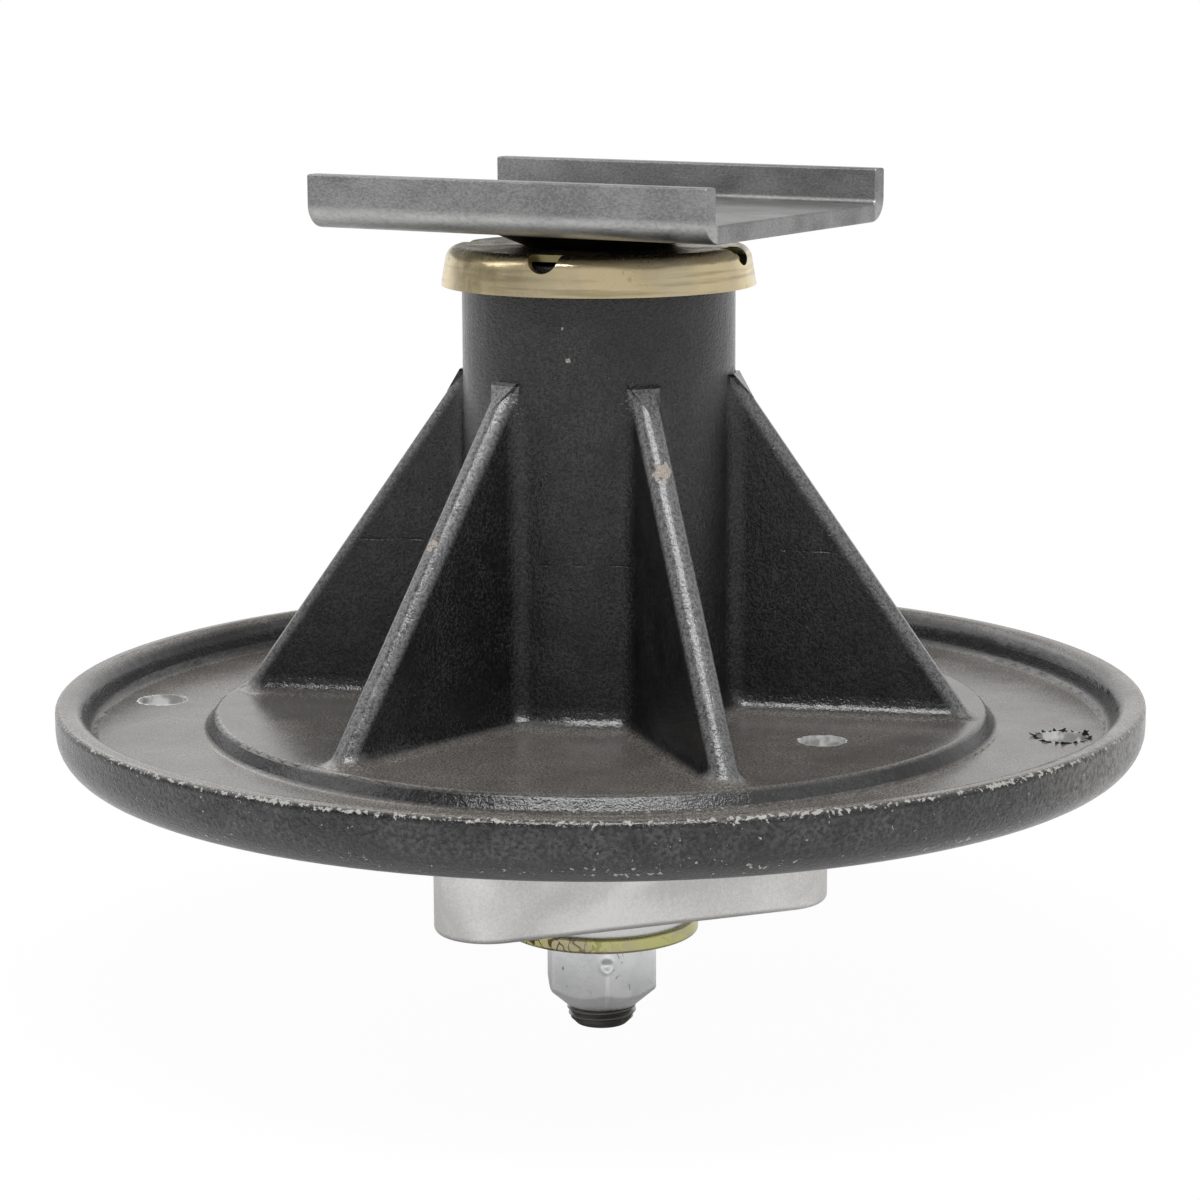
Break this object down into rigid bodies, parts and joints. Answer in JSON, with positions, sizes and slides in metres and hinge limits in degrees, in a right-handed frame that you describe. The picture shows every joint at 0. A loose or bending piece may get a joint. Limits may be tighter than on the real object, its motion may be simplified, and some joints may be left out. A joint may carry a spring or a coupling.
{
  "type": "mower deck spindle",
  "caption": "Mower blade spindle: cast housing with a rimmed flange and a gusseted bearing tube, turning shaft with a blade channel at one end and a lobed pulley hub and nut at the other.",
  "frame": {"origin": "on the spindle axis, at the flange's flat deck face (the centre of the deck bolt circle)", "axes": "+Z along the spindle axis towards the blade channel (up as pictured, down on the mower); +X along the channel; +Y across it"},
  "size_m": [0.244, 0.244, 0.1947],
  "materials": {
    "housing_paint": "black satin paint over a pebbled casting",
    "shaft_steel": "dark oiled steel",
    "channel_steel": "raw mill grey, mottled",
    "cap_zinc": "satin yellow zinc plating",
    "hub_aluminium": "satin, machined",
    "washer_zinc": "yellow-green zinc plating, stained",
    "nut_zinc": "clear zinc plating",
    "bearing_steel": "ground and polished",
    "cage_nylon": "moulded",
    "seal_rubber": "moulded"
  },
  "bodies": {
    "housing": {"housing": "housing_paint", "blade_bearing_outer_ring": "bearing_steel", "blade_bearing_upper_seal": "seal_rubber", "blade_bearing_lower_seal": "seal_rubber", "drive_bearing_outer_ring": "bearing_steel", "drive_bearing_upper_seal": "seal_rubber", "drive_bearing_lower_seal": "seal_rubber"},
    "spindle": {"spindle_shaft": "shaft_steel", "blade_channel": "channel_steel", "dust_cap": "cap_zinc", "bearing_spacer": "shaft_steel", "blade_bearing_inner_ring": "bearing_steel", "drive_bearing_inner_ring": "bearing_steel", "pulley_hub": "hub_aluminium", "drive_key": "shaft_steel", "clamp_washer": "washer_zinc", "clamp_nut": "nut_zinc"},
    "blade_ball_set": {"blade_bearing_balls": "bearing_steel", "blade_bearing_cage": "cage_nylon"},
    "drive_ball_set": {"drive_bearing_balls": "bearing_steel", "drive_bearing_cage": "cage_nylon"}
  },
  "joints": [
    {"name": "spindle_spin", "type": "hinge", "parent": "housing", "child": "spindle", "pos_m": [0, 0, 0], "axis": [0, 0, 1], "continuous": true},
    {"name": "blade_ball_orbit", "type": "hinge", "parent": "housing", "child": "blade_ball_set", "pos_m": [0, 0, 0], "axis": [0, 0, 1], "continuous": true},
    {"name": "drive_ball_orbit", "type": "hinge", "parent": "housing", "child": "drive_ball_set", "pos_m": [0, 0, 0], "axis": [0, 0, 1], "continuous": true}
  ],
  "couplings": [
    {"joint": "blade_ball_orbit", "follows": "spindle_spin", "ratio": 0.3815},
    {"joint": "drive_ball_orbit", "follows": "spindle_spin", "ratio": 0.3815}
  ]
}
